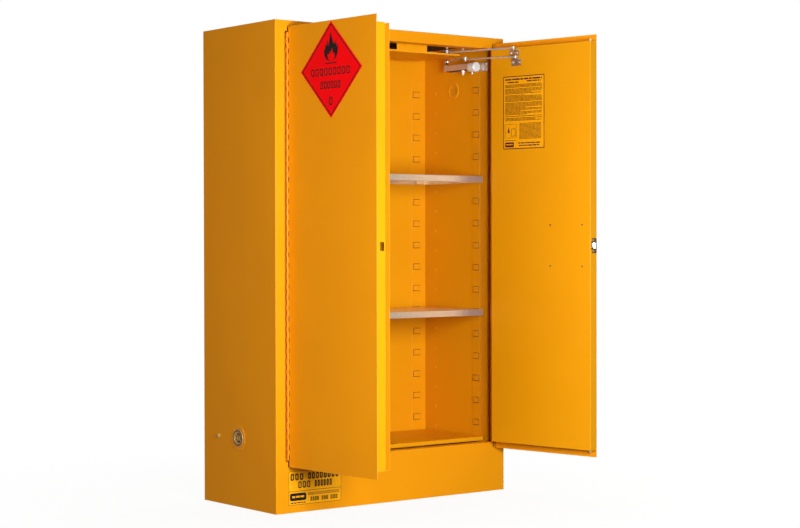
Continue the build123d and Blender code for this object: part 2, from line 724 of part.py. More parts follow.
def barrel(opening, u_low, u_high, radius, mode=Mode.ADD):
    """Adds a level round bar along the paddle's pivot."""
    plane = door_plane(RIGHT, opening)
    start = plane.from_local_coords(Vector(u_low, -PADDLE_V, PADDLE_TOP))
    with BuildSketch(Plane(origin=start, x_dir=(0, 0, 1), z_dir=plane.x_dir)) as outline:
        Circle(radius)
    extrude(outline.sketch, amount=u_high - u_low, mode=mode)


def make_paddle_pin(opening):
    """The pin across the cup that the paddle turns on."""
    half = CUP_WIDTH / 2 - SHEET - 0.05
    with BuildPart() as pin:
        barrel(opening, HANDLE_U - half, HANDLE_U + half, PADDLE_PIN)
    write(pin.part, "paddle_pin")


def make_lock_cylinder(opening):
    """The key cylinder in the paddle, with its key slot."""
    centre_z = LATCH_Z + LOCK_RISE
    with BuildPart() as lock:
        face_disc(RIGHT, opening, (HANDLE_U, centre_z), LOCK_RADIUS, PADDLE_V - 8, PADDLE_V + 6)
        door_block(
            RIGHT,
            opening,
            (HANDLE_U - 1.2, PADDLE_V - 9, centre_z - 5),
            (HANDLE_U + 1.2, PADDLE_V - 4, centre_z + 5),
            Mode.SUBTRACT,
        )
    write(lock.part, "lock_cylinder")


def make_handle_fixings(opening):
    """The four rivet heads on the inner face that hold the cup's backing bracket."""
    with BuildPart() as fixings:
        for u in (HANDLE_U - FIXING_U, HANDLE_U + FIXING_U):
            for z in (LATCH_Z - FIXING_Z, LATCH_Z + FIXING_Z):
                face_disc(RIGHT, opening, (u, z), 3.5, PAN_INNER, PAN_INNER + 1.5)
    write(fixings.part, "handle_fixings")


def make_lock_rod(opening, low, high, name):
    """A bolt rod inside the door, guided through the pan's edge."""
    with BuildPart() as rod:
        door_disc(RIGHT, opening, (BOLT_U, BOLT_V), BOLT_RADIUS, low, high)
    write(rod.part, name)


# ---------------------------------------------------------------- closers and linkages
def bracket_plate(side, opening, pivot, top, height):
    """Adds a screwed plate with an ear and an upright pivot pin."""
    u_low, u_high = pivot[0] - PLATE_BEFORE, pivot[0] + PLATE_AFTER
    ear = top - EAR_BELOW
    ear_low = (pivot[0] - EAR_HALF, PAN_INNER, ear - EAR_THICK)
    door_block(side, opening, (u_low, PAN_INNER, top - height), (u_high, PAN_INNER + PLATE_THICK, ear))
    door_block(side, opening, ear_low, (pivot[0] + EAR_HALF, pivot[1] + 8, ear))
    door_disc(side, opening, pivot, PIVOT_RADIUS, ear - 5, top + 5)
    door_disc(side, opening, pivot, HEAD_RADIUS, top + 4.3, top + 6.5)


def make_brackets(side, name, opening):
    """The two link brackets on a door's inner face."""
    with BuildPart() as brackets:
        bracket_plate(side, opening, UPPER_PIVOT, UPPER_Z, 30)
        bracket_plate(side, opening, LOWER_PIVOT, LOWER_Z, 33)
    write(brackets.part, f"link_brackets_{name}")


def make_door_screws(side, name, opening):
    """The pan-head screws of the link brackets, and on the right door the latch plate's two."""
    with BuildPart() as screws:
        for pivot, top in ((UPPER_PIVOT, UPPER_Z - 18), (LOWER_PIVOT, LOWER_Z - 19)):
            for offset in SCREW_OFFSETS:
                centre = (pivot[0] + offset, top)
                seat = PAN_INNER + PLATE_THICK
                face_disc(side, opening, centre, SCREW_RADIUS, seat, seat + SCREW_HEAD)
        if side == RIGHT:
            plane = door_plane(side, opening)
            edge = plane.from_local_coords(Vector(DOOR_END + 1, -(SKIN_FACE + 21), 0))
            face = Plane(origin=edge, x_dir=plane.y_dir, z_dir=plane.x_dir)
            flip = 1 if face.y_dir.Z > 0 else -1
            for z in (LATCH_Z - PLATE_SCREW, LATCH_Z + PLATE_SCREW):
                disc(face, (0, flip * z), 3.5, 0, 0.8)
    write(screws.part, f"door_screws_{name}")


def spot(side, place):
    """A point on one side of the cabinet, as the model's X and Y."""
    return side * place[0], at_front(place[1])


def link_end(side, opening, place, pivot):
    """The free end of an arm that stays parallel to the line from the hinge to a door pivot."""
    pivot_x, pivot_y = door_point(side, opening, *pivot)
    x, y = spot(side, place)
    return x + pivot_x - side * HINGE_X, y + pivot_y - HINGE_Y


def bar_plane(start, end, z):
    """A plane at a height with its x axis from one point towards another, and their distance."""
    reach = Vector(end[0] - start[0], end[1] - start[1], 0)
    return Plane(origin=(start[0], start[1], z), x_dir=reach, z_dir=(0, 0, 1)), reach.length


def flat_arm(start, end, z_low, z_high, width):
    """Adds a flat bar with round ends between two points."""
    plane, length = bar_plane(start, end, z_low)
    with BuildSketch(plane) as outline:
        with Locations((length / 2, 0)):
            SlotCenterToCenter(length, width)
    extrude(outline.sketch, amount=z_high - z_low)


def round_link(start, end, start_z, end_z):
    """Adds a round rod between two level eyes, which may lie at different heights."""
    reach = Vector(end[0] - start[0], end[1] - start[1], end_z - start_z)
    across = Plane(origin=(start[0], start[1], start_z), z_dir=reach)
    with BuildSketch(across.offset(EYE_RADIUS - 2)) as section:
        Circle(ROD_RADIUS)
    extrude(section.sketch, amount=reach.length - 2 * (EYE_RADIUS - 2))
    for point, z in ((start, start_z), (end, end_z)):
        disc(Plane.XY, point, EYE_RADIUS, z - EYE_HALF, z + EYE_HALF)


def make_closer_arm(side, name, opening):
    """The closer's arm, clamped on its spindle, with the elbow pin at its free end."""
    start = spot(side, SPINDLE)
    end = link_end(side, opening, SPINDLE, LOWER_PIVOT)
    low = ELBOW_Z + EYE_HALF + 0.2
    high = low + ARM_THICK
    with BuildPart() as arm:
        flat_arm(start, end, low, high, ARM_WIDTH)
        disc(Plane.XY, start, ARM_HUB, low - 4, high)
        disc(Plane.XY, end, PIVOT_RADIUS, ELBOW_Z - 5, high)
        disc(Plane.XY, end, HEAD_RADIUS, ELBOW_Z - 7, ELBOW_Z - EYE_HALF - 0.4)
        disc(Plane.XY, end, HEAD_RADIUS, high, high + 2)
        disc(Plane.XY, start, SPINDLE_RADIUS + RUNNING_GAP, low - 5, high + 6, Mode.SUBTRACT)
    write(arm.part, f"closer_arm_{name}")


def make_closer_link(side, name, opening):
    """The link from the elbow of the closer's arm to the lower bracket on the door."""
    start = link_end(side, opening, SPINDLE, LOWER_PIVOT)
    end = door_point(side, opening, *LOWER_PIVOT)
    with BuildPart() as link:
        round_link(start, end, ELBOW_Z, LOWER_Z)
        disc(Plane.XY, start, PIVOT_RADIUS + RUNNING_GAP, ELBOW_Z - 5, ELBOW_Z + 5, Mode.SUBTRACT)
        disc(Plane.XY, end, PIVOT_RADIUS + PIVOT_CLEARANCE, LOWER_Z - 5, LOWER_Z + 5, Mode.SUBTRACT)
    write(link.part, f"closer_link_{name}")


def make_stay_crank(side, name, opening):
    """The crank under the ceiling, with the pin that carries the stay rod."""
    start = spot(side, CRANK)
    end = link_end(side, opening, CRANK, UPPER_PIVOT)
    low = UPPER_Z + EYE_HALF + 0.4
    high = low + CRANK_THICK
    with BuildPart() as crank:
        flat_arm(start, end, low, high, CRANK_WIDTH)
        disc(Plane.XY, end, PIVOT_RADIUS, UPPER_Z - 5, high)
        disc(Plane.XY, end, HEAD_RADIUS, UPPER_Z - 7, UPPER_Z - EYE_HALF - 0.4)
        disc(Plane.XY, start, SPINDLE_RADIUS + RUNNING_GAP, low - 3, high + 3, Mode.SUBTRACT)
    write(crank.part, f"stay_crank_{name}")


def make_stay_rod(side, name, opening):
    """The rod from the crank under the ceiling to the upper bracket on the door."""
    start = link_end(side, opening, CRANK, UPPER_PIVOT)
    end = door_point(side, opening, *UPPER_PIVOT)
    with BuildPart() as rod:
        round_link(start, end, UPPER_Z, UPPER_Z)
        disc(Plane.XY, start, PIVOT_RADIUS + RUNNING_GAP, UPPER_Z - 5, UPPER_Z + 5, Mode.SUBTRACT)
        disc(Plane.XY, end, PIVOT_RADIUS + PIVOT_CLEARANCE, UPPER_Z - 5, UPPER_Z + 5, Mode.SUBTRACT)
    write(rod.part, f"stay_rod_{name}")


def make_crank_posts():
    """The headed posts under the ceiling that the cranks turn on."""
    with BuildPart() as posts:
        for side in (LEFT, RIGHT):
            centre = spot(side, CRANK)
            disc(Plane.XY, centre, 9, CEILING - 10, CEILING)
            disc(Plane.XY, centre, SPINDLE_RADIUS, UPPER_Z, CEILING)
            disc(Plane.XY, centre, 8, UPPER_Z, UPPER_Z + EYE_HALF + 0.1)
    write(posts.part, "crank_posts")


def make_closer_channel():
    """The cover across the ceiling, with windows that the stay rods pass through."""
    start = at_front(CHANNEL_Y)
    lip = CHANNEL_BOTTOM + SHEET
    with BuildPart() as channel:
        block(Plane.XY, (-CHANNEL_HALF, start, CHANNEL_BOTTOM), (CHANNEL_HALF, start + SHEET, CEILING))
        block(Plane.XY, (-CHANNEL_HALF, start, CHANNEL_BOTTOM), (CHANNEL_HALF, start + CHANNEL_LIP, lip))
        for x_low, x_high in WINDOWS:
            low = (x_low, start - 2, CHANNEL_BOTTOM + 7)
            block(Plane.XY, low, (x_high, start + SHEET + 2, CEILING - 3), Mode.SUBTRACT)
    write(channel.part, "closer_channel")


def make_closer_body(side, name):
    """A hydraulic closer on the side wall: a bar with a cylinder end, a bracket and its spindle."""
    spindle = spot(side, SPINDLE)
    top = CLOSER_TOP
    with BuildPart() as body:
        wall_block(side, 500, 512, CLOSER_FRONT, CLOSER_BACK, top - 30, top)
        wall_block(side, 468, 506, CLOSER_FRONT + CYLINDER_LENGTH, CLOSER_BACK, top - 24, top)
        centre = (side * CYLINDER_X, at_front(CLOSER_FRONT), top - 16)
        head = Plane(origin=centre, x_dir=(1, 0, 0), z_dir=(0, 1, 0))
        disc(head, (0, 0), CYLINDER_RADIUS, 0, CYLINDER_LENGTH)
        disc(head, (0, 0), CYLINDER_CAP, -4, 0)
        wall_block(side, 511, INNER_SIDE, LINER_FRONT, 286, top - 34, top + 4)
        arm_top = ELBOW_Z + EYE_HALF + 0.2 + ARM_THICK
        disc(Plane.XY, spindle, SPINDLE_RADIUS, top - 32, arm_top + 1)
        disc(Plane.XY, spindle, 8, arm_top + 0.4, arm_top + 3)
        disc(Plane.XY, (side * CYLINDER_X, at_front(172)), 6, top - 42, top - 20)
        disc(Plane.XY, (side * CYLINDER_X, at_front(115)), 3, top - 44, top - 30)
    write(body.part, f"closer_body_{name}")


# ---------------------------------------------------------------- build everything
make_top_panel()
make_back_panel()
make_base_panel()
make_sill_panel()
make_liner_back()
make_liner_top()
make_sump_tray()
make_uprights()
make_shelf(SHELF_TOPS[0], SHELF_LIP, "shelf_upper")
make_shelf(SHELF_TOPS[1], SHELF_LIP, "shelf_lower")
make_shelf(BOTTOM_SHELF_TOP, BOTTOM_SHELF_TOP - SILL_TOP, "shelf_bottom")
make_shelf_clips()
make_vent_socket(LEFT, LOW_VENT, "left")
make_vent_socket(RIGHT, HIGH_VENT, "right")
make_vent_bungs()
make_flame_screens()
make_earth_screw()
make_hinge_pins()
make_crank_posts()
make_closer_channel()
for side, name, opening in SIDES:
    make_side_panel(side, name)
    make_liner_side(side, name)
    make_frame_leaf(side, name)
    make_door_leaf(side, name, opening)
    make_door_skin(side, name, opening)
    make_door_pan(side, name, opening)
    make_brackets(side, name, opening)
    make_door_screws(side, name, opening)
    make_closer_body(side, name)
    make_closer_arm(side, name, opening)
    make_closer_link(side, name, opening)
    make_stay_crank(side, name, opening)
    make_stay_rod(side, name, opening)
make_astragal(LEFT_OPEN)
make_latch_plate(RIGHT_OPEN)
make_latch_tongue(RIGHT_OPEN)
make_latch_case(RIGHT_OPEN)
make_handle_cup(RIGHT_OPEN)
make_paddle(RIGHT_OPEN)
make_paddle_pin(RIGHT_OPEN)
make_lock_cylinder(RIGHT_OPEN)
make_handle_fixings(RIGHT_OPEN)
make_lock_rod(RIGHT_OPEN, LATCH_Z + BOLT_START, PAN_TOP + BOLT_REACH, "lock_rod_top")
make_lock_rod(RIGHT_OPEN, PAN_BOTTOM - BOLT_REACH, LATCH_Z - BOLT_START, "lock_rod_bottom")
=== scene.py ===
import bpy
import json
import math
import random
from mathutils import Matrix, Vector


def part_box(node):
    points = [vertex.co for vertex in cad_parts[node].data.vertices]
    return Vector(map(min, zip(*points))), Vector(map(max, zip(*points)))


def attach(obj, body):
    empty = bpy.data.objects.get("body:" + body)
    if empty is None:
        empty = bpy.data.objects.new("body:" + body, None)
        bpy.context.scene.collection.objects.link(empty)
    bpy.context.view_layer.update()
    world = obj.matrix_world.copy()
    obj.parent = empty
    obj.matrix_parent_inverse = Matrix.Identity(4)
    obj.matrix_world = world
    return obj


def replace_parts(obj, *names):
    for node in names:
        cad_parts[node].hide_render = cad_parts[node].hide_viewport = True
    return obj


# The looks of the flammable storage cabinet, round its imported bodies. Shapes are written in millimetres
# in the frame's axes: x along the front, y towards the back, z up. The doors rest open.

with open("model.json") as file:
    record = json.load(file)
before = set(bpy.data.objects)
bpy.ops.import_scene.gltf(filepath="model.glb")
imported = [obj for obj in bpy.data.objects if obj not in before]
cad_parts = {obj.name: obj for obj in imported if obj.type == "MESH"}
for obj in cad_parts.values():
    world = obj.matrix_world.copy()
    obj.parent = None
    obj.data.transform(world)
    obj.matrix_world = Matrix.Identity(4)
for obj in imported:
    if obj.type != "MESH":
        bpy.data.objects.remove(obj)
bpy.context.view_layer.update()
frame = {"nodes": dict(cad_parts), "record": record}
nodes = frame["nodes"]
scene = bpy.context.scene
dice = random.Random(11)

MM = 0.001
LEFT, RIGHT = -1, 1

# Carcass: half width, front plane and top outside, then the front stile's inner edge, wall and ceiling.
SIDE, FRONT, TOP = 555.0, -250.0, 1825.0
REVEAL, INNER_SIDE, CEILING = 512.5, 515.0, 1790.0

# Doors: the opening in degrees, the hinge's axis, the depths of both faces, and the height of the skin.
OPENING = {LEFT: 86.5, RIGHT: 99.8}
HINGE_X, HINGE_Y = 507.25, -256.5
SKIN_FACE, PAN_INNER = 3.4, 43.4
SKIN_BOTTOM, SKIN_TOP = 174.0, 1801.0
HINGE_BOTTOM, HINGE_TOP, KNUCKLES = 198.0, 1779.0, 80

# Tabs of the uprights, as the height of the first, their pitch and number, and the size of each.
TAB_FIRST, TAB_PITCH, TAB_COUNT = 266.5, 90.5, 16
TAB_WIDTH, TAB_HEIGHT, TAB_PROUD = 33.0, 22.0, 4.0

# Vents, as the side with the distance behind the front and the height of the centre.
VENTS = ((LEFT, 256.0, 262.0), (RIGHT, 267.0, 1630.0))

# The top of the closer's arm, which the cap of the spindle has to clear.
ARM_TOP = 1752.5


# ------------------------------------------------------------------ materials
class Nodes:
    """A thin wrapper that adds shader nodes and links them in one call."""

    def __init__(self, name):
        self.material = bpy.data.materials.new(name)
        self.material.use_nodes = True
        self.tree = self.material.node_tree
        self.shader = self.tree.nodes["Principled BSDF"]

    def add(self, kind, inputs=None, **settings):
        node = self.tree.nodes.new(kind)
        for key, value in settings.items():
            setattr(node, key, value)
        for key, value in (inputs or {}).items():
            self.put(node, key, value)
        return node

    def put(self, node, key, value):
        if isinstance(value, bpy.types.NodeSocket):
            self.tree.links.new(value, node.inputs[key])
        elif isinstance(value, bpy.types.Node):
            self.tree.links.new(value.outputs[0], node.inputs[key])
        else:
            node.inputs[key].default_value = value

    def place(self):
        return self.add("ShaderNodeTexCoord").outputs["Object"]

    def normal(self):
        return self.add("ShaderNodeNewGeometry").outputs["Normal"]

    def component(self, vector, axis):
        return self.add("ShaderNodeSeparateXYZ", {0: vector}).outputs[axis]

    def noise(self, scale, detail=3.0, rough=0.55, at=None):
        inputs = {"Vector": at or self.place(), "Scale": scale, "Detail": detail, "Roughness": rough}
        return self.add("ShaderNodeTexNoise", inputs).outputs["Fac"]

    def ramp(self, value, low, high, to_low=0.0, to_high=1.0):
        inputs = {
            "Value": value, "From Min": low, "From Max": high, "To Min": to_low, "To Max": to_high
        }
        return self.add("ShaderNodeMapRange", inputs).outputs[0]

    def mix(self, share, first, second):
        node = self.add("ShaderNodeMix", data_type="RGBA")
        self.put(node, 0, share)
        self.put(node, 6, first)
        self.put(node, 7, second)
        return node.outputs[2]

    def math(self, kind, first, second=0.0):
        return self.add("ShaderNodeMath", {0: first, 1: second}, operation=kind).outputs[0]

    def vector_math(self, kind, first, second, output=0):
        return self.add("ShaderNodeVectorMath", {0: first, 1: second}, operation=kind).outputs[output]

    def bump(self, height, strength, distance, normal=None):
        inputs = {"Height": height, "Strength": strength, "Distance": distance}
        if normal is not None:
            inputs["Normal"] = normal
        return self.add("ShaderNodeBump", inputs).outputs[0]

    def edges(self, radius):
        """How sharply the surface turns within a radius: 0 on flats, towards 1 on edges."""
        rounded_normal = self.add("ShaderNodeBevel", {"Radius": radius}, samples=4).outputs[0]
        likeness = self.vector_math("DOT_PRODUCT", rounded_normal, self.normal(), "Value")
        return self.ramp(likeness, 0.995, 0.85)

    def paint(self, colours, specks=True):
        """Three tones of one paint: slow drift between the first two, and fine specks of the third."""
        colour, dark, light = colours
        base = self.mix(self.ramp(self.noise(2.3, 4.0), 0.35, 0.65), dark, colour)
        if specks:
            base = self.mix(self.ramp(self.noise(190.0, 2.0), 0.62, 0.75, 0.0, 0.16), base, light)
        return base

    def orange_peel(self, strength):
        return self.bump(self.noise(620.0, 2.0), strength, 0.0006)

    def set(self, **inputs):
        for key, value in inputs.items():
            self.put(self.shader, key.replace("_", " "), value)


def rgb(r, g, b):
    return (r, g, b, 1.0)


def powder_coat(name, colours, rough=0.34, edge=0.5):
    """Sprayed and baked paint: faint orange peel, slow panel waves, colour drift, and a painted highlight
    mixed onto the edges in the share that edge gives.
    """
    n = Nodes(name)
    n.set(
        Base_Color=n.mix(n.math("MULTIPLY", n.edges(0.0016), edge), n.paint(colours), EDGE_HIGHLIGHT),
        Roughness=n.ramp(n.noise(9.0, 5.0), 0.3, 0.7, rough - 0.05, rough + 0.07),
        Normal=n.bump(n.noise(5.5, 1.0), 0.10, 0.012, n.orange_peel(0.10)),
        Specular_IOR_Level=0.22,
    )
    return n.material


def hinge_paint(name, colours, shade):
    """The outer paint, with painted shade on the flanks of the barrel that face the ends of the cabinet.
    """
    n = Nodes(name)
    side = n.math("SIGN", n.component(n.place(), "X"))
    outward = n.math("MULTIPLY", n.component(n.normal(), "X"), side)
    n.set(
        Base_Color=n.mix(n.ramp(outward, 0.35, 0.75), n.paint(colours), shade),
        Roughness=n.ramp(n.noise(9.0, 5.0), 0.3, 0.7, 0.33, 0.45),
        Normal=n.orange_peel(0.16),
        Specular_IOR_Level=0.22,
    )
    return n.material


def upright_paint(name, colours, shade):
    """The inner paint, with painted shade on the thin faces that look out of the front."""
    n = Nodes(name)
    front_shade = n.ramp(n.component(n.normal(), "Y"), -0.5, -0.85, 0.0, 0.62)
    n.set(
        Base_Color=n.mix(front_shade, n.paint(colours, specks=False), shade),
        Roughness=n.ramp(n.noise(9.0, 5.0), 0.3, 0.7, 0.34, 0.46),
        Normal=n.orange_peel(0.10),
        Specular_IOR_Level=0.12,
    )
    return n.material


def screen_mesh(name, paint, zinc):
    """Woven flame screen: bare on the left of the cabinet, and painted over on the right."""
    n = Nodes(name)
    painted = n.ramp(n.component(n.place(), "X"), -0.01, 0.01)
    weave = n.add("ShaderNodeTexChecker", {"Vector": n.place(), "Scale": 900.0}).outputs["Fac"]
    bare = n.mix(n.math("MULTIPLY", weave, 0.5), zinc, rgb(0.12, 0.11, 0.10))
    n.set(
        Base_Color=n.mix(painted, bare, paint),
        Metallic=n.ramp(painted, 0.0, 1.0, 0.9, 0.0),
        Roughness=n.ramp(n.noise(300.0), 0.3, 0.7, 0.34, 0.5),
        Normal=n.bump(weave, 0.3, 0.0005),
    )
    return n.material


def metal(name, colour, other, rough, scale=60.0, brushed=None, bump=0.05, metallic=1.0):
    """Plain or plated metal: cloudy tint, roughness that varies, fine grain, and a painted highlight on
    the edges.
    """
    n = Nodes(name)
    at = n.place()
    if brushed:
        at = n.add("ShaderNodeMapping", {"Vector": at, "Scale": brushed}).outputs[0]
    grain = n.noise(scale, 6.0, 0.65, at)
    base = n.mix(n.ramp(n.noise(14.0, 4.0), 0.3, 0.7), colour, other)
    base = n.mix(n.ramp(grain, 0.45, 0.75, 0.0, 0.35), base, other)
    # Painted highlight: the edges are mixed towards near white.
    base = n.mix(n.math("MULTIPLY", n.edges(0.0006), 0.4), base, rgb(0.95, 0.94, 0.92))
    n.set(
        Base_Color=base,
        Metallic=metallic,
        Roughness=n.ramp(grain, 0.3, 0.75, rough - 0.06, rough + 0.1),
        Normal=n.bump(grain, bump, 0.0004),
    )
    return n.material


def galvanised(name):
    """Hot-dip zinc: a spangle of flat crystals, each with its own grey and its own sheen. A painted
    reflection of the orange walls warms the colour with depth."""
    n = Nodes(name)
    place = n.place()
    warp = n.add("ShaderNodeTexNoise", {"Vector": place, "Scale": 40.0, "Detail": 2.0}).outputs["Color"]
    at = n.vector_math("ADD", place, n.vector_math("MULTIPLY", warp, (0.012, 0.012, 0.012)))
    crystal = n.add("ShaderNodeTexVoronoi", {"Vector": at, "Scale": 150.0}).outputs["Color"]
    tone, sheen, tilt = n.add("ShaderNodeSeparateColor", {"Color": crystal}).outputs
    base = n.mix(n.ramp(tone, 0.0, 1.0), rgb(0.76, 0.755, 0.75), rgb(0.83, 0.82, 0.81))
    base = n.mix(n.ramp(n.noise(7.0, 4.0), 0.4, 0.7, 0.0, 0.35), base, rgb(0.72, 0.71, 0.70))
    wall_reflection = n.ramp(n.component(n.place(), "Y"), -0.12, 0.15, 0.0, 0.6)
    n.set(
        Base_Color=n.mix(wall_reflection, base, rgb(0.70, 0.40, 0.14)),
        Metallic=0.82,
        Roughness=n.ramp(sheen, 0.0, 1.0, 0.33, 0.39),
        Normal=n.bump(tilt, 0.012, 0.0006, n.bump(n.noise(900.0), 0.04, 0.0003)),
    )
    return n.material


def plastic(name, colour, other, rough):
    """Moulded plastic with a fine spark-eroded grain and a painted highlight on the edges."""
    n = Nodes(name)
    grain = n.noise(700.0, 3.0)
    tint = n.mix(n.ramp(n.noise(20.0), 0.3, 0.7, 0.0, 0.5), colour, other)
    n.set(
        # Painted highlight: the edges are mixed towards grey.
        Base_Color=n.mix(n.math("MULTIPLY", n.edges(0.0012), 0.25), tint, rgb(0.25, 0.25, 0.25)),
        Roughness=n.ramp(grain, 0.3, 0.7, rough - 0.06, rough + 0.06),
        Normal=n.bump(grain, 0.25, 0.0004),
    )
    return n.material


def print_ink(name, colour, other, rough=0.38):
    """Screen-printed vinyl: slightly uneven ink over a very fine film texture."""
    n = Nodes(name)
    n.set(
        Base_Color=n.mix(n.ramp(n.noise(60.0, 5.0), 0.35, 0.7), colour, other),
        Roughness=n.ramp(n.noise(35.0, 4.0), 0.3, 0.7, rough - 0.08, rough + 0.08),
        Normal=n.bump(n.noise(500.0), 0.05, 0.0003),
        Specular_IOR_Level=0.12,
    )
    return n.material


# Paints, as main, dark and light tones.
# The pale colour below is not a paint: powder_coat() mixes it onto edges as a painted highlight.
EDGE_HIGHLIGHT = rgb(0.98, 0.56, 0.14)
OUTER = rgb(0.84, 0.305, 0.002), rgb(0.805, 0.288, 0.002), rgb(0.93, 0.40, 0.012)
INNER = rgb(0.80, 0.328, 0.003), rgb(0.77, 0.310, 0.003), rgb(0.90, 0.41, 0.012)
# Colours of painted shade: the darkest for gaps, slots and notches, and a dark orange for the groove
# beside the hinges.
SHADOW = rgb(0.17, 0.045, 0.003), rgb(0.13, 0.035, 0.003), rgb(0.22, 0.07, 0.004)
RECESS_SHADE = rgb(0.60, 0.175, 0.002), rgb(0.55, 0.16, 0.002), rgb(0.68, 0.22, 0.004)
WELD = rgb(0.88, 0.40, 0.03), rgb(0.84, 0.37, 0.03), rgb(0.92, 0.46, 0.06)

# Metals, as two colours, a roughness and what differs from metal()'s own settings.
METALS = {
    "base_steel": ((0.42, 0.42, 0.43), (0.30, 0.30, 0.31), 0.45, {}),
    "dark_steel": ((0.060, 0.026, 0.014), (0.040, 0.018, 0.010), 0.6, {"metallic": 0.0}),
    "plate_steel": ((0.20, 0.10, 0.03), (0.15, 0.07, 0.02), 0.5, {"metallic": 0.3}),
    "silver": (
        (0.84, 0.89, 0.99), (0.74, 0.79, 0.90), 0.25,
        {"scale": 200.0, "brushed": (1.0, 0.05, 1.0), "metallic": 0.15},
    ),
    "vent_zinc": ((0.80, 0.57, 0.28), (0.62, 0.42, 0.17), 0.28, {"scale": 90.0, "metallic": 0.5}),
    "zinc_hinge": ((0.70, 0.70, 0.72), (0.55, 0.55, 0.58), 0.3, {}),
    "brass": ((0.96, 0.68, 0.26), (0.58, 0.37, 0.12), 0.22, {"scale": 45.0, "metallic": 0.4}),
    "bracket_zinc": ((0.60, 0.53, 0.47), (0.44, 0.38, 0.33), 0.27, {"metallic": 0.8}),
    "zinc_plate": ((0.84, 0.80, 0.77), (0.66, 0.62, 0.60), 0.27, {"metallic": 0.6}),
    "bright_steel": (
        (0.76, 0.79, 0.86), (0.64, 0.67, 0.74), 0.3,
        {"scale": 240.0, "brushed": (1.0, 1.0, 0.05), "metallic": 0.55},
    ),
    "closer_metal": ((0.66, 0.47, 0.36), (0.56, 0.39, 0.29), 0.36, {"scale": 300.0, "metallic": 0.3}),
    "chrome": ((0.86, 0.87, 0.88), (0.78, 0.79, 0.80), 0.12, {"scale": 90.0, "bump": 0.02}),
}

looks = {
    "yellow_outer": powder_coat("yellow_outer", OUTER),
    "yellow_inner": powder_coat("yellow_inner", INNER, 0.36),
    "yellow_hinge": hinge_paint("yellow_hinge", OUTER, rgb(0.42, 0.105, 0.002)),
    "upright": upright_paint("upright", INNER, rgb(0.22, 0.07, 0.002)),
    "seam_paint": powder_coat("seam_paint", OUTER, edge=0.0),
    "shadow_paint": powder_coat("shadow_paint", SHADOW, 0.55, edge=0.0),
    "recess_shade_paint": powder_coat("recess_shade_paint", RECESS_SHADE, 0.5, edge=0.0),
    "weld_paint": powder_coat("weld_paint", WELD, 0.4, edge=0.0),
    "galvanised": galvanised("galvanised"),
    "screen": screen_mesh("screen", INNER[0], rgb(0.66, 0.65, 0.63)),
    "black_handle": plastic("black_handle", rgb(0.012, 0.012, 0.013), rgb(0.0232, 0.0232, 0.0248), 0.42),
}
for look_name, (colour, other, rough, settings) in METALS.items():
    looks[look_name] = metal(look_name, rgb(*colour), rgb(*other), rough, **settings)

red_ink = print_ink("red_ink", rgb(0.95, 0.0015, 0.004), rgb(0.90, 0.0015, 0.0035))
black_ink = print_ink("black_ink", rgb(0.012, 0.010, 0.010), rgb(0.022, 0.018, 0.016))
border_ink = print_ink("border_ink", rgb(0.055, 0.008, 0.016), rgb(0.075, 0.012, 0.020))
brown_ink = print_ink("brown_ink", rgb(0.10, 0.022, 0.006), rgb(0.14, 0.035, 0.008))
label_film = print_ink("label_film", rgb(0.92, 0.40, 0.006), rgb(0.88, 0.36, 0.005), 0.3)

# Nodes that don't look as the rest of their material slot does.
OWN_LOOKS = {
    "handle_fixings": "plate_steel",
    "link_brackets_left": "bracket_zinc",
    "link_brackets_right": "bracket_zinc",
    "latch_case": "plate_steel",
    "flame_screens": "screen",
    "latch_plate": "plate_steel",
    "vent_socket_left": "vent_zinc",
    "upright_front_left": "upright",
    "upright_front_right": "upright",
}
slots = {part["node"]: part["material_slot"] for part in frame["record"]["subparts"]}
for node_name, node in nodes.items():
    node.data.materials.clear()
    node.data.materials.append(looks[OWN_LOOKS.get(node_name, slots[node_name])])


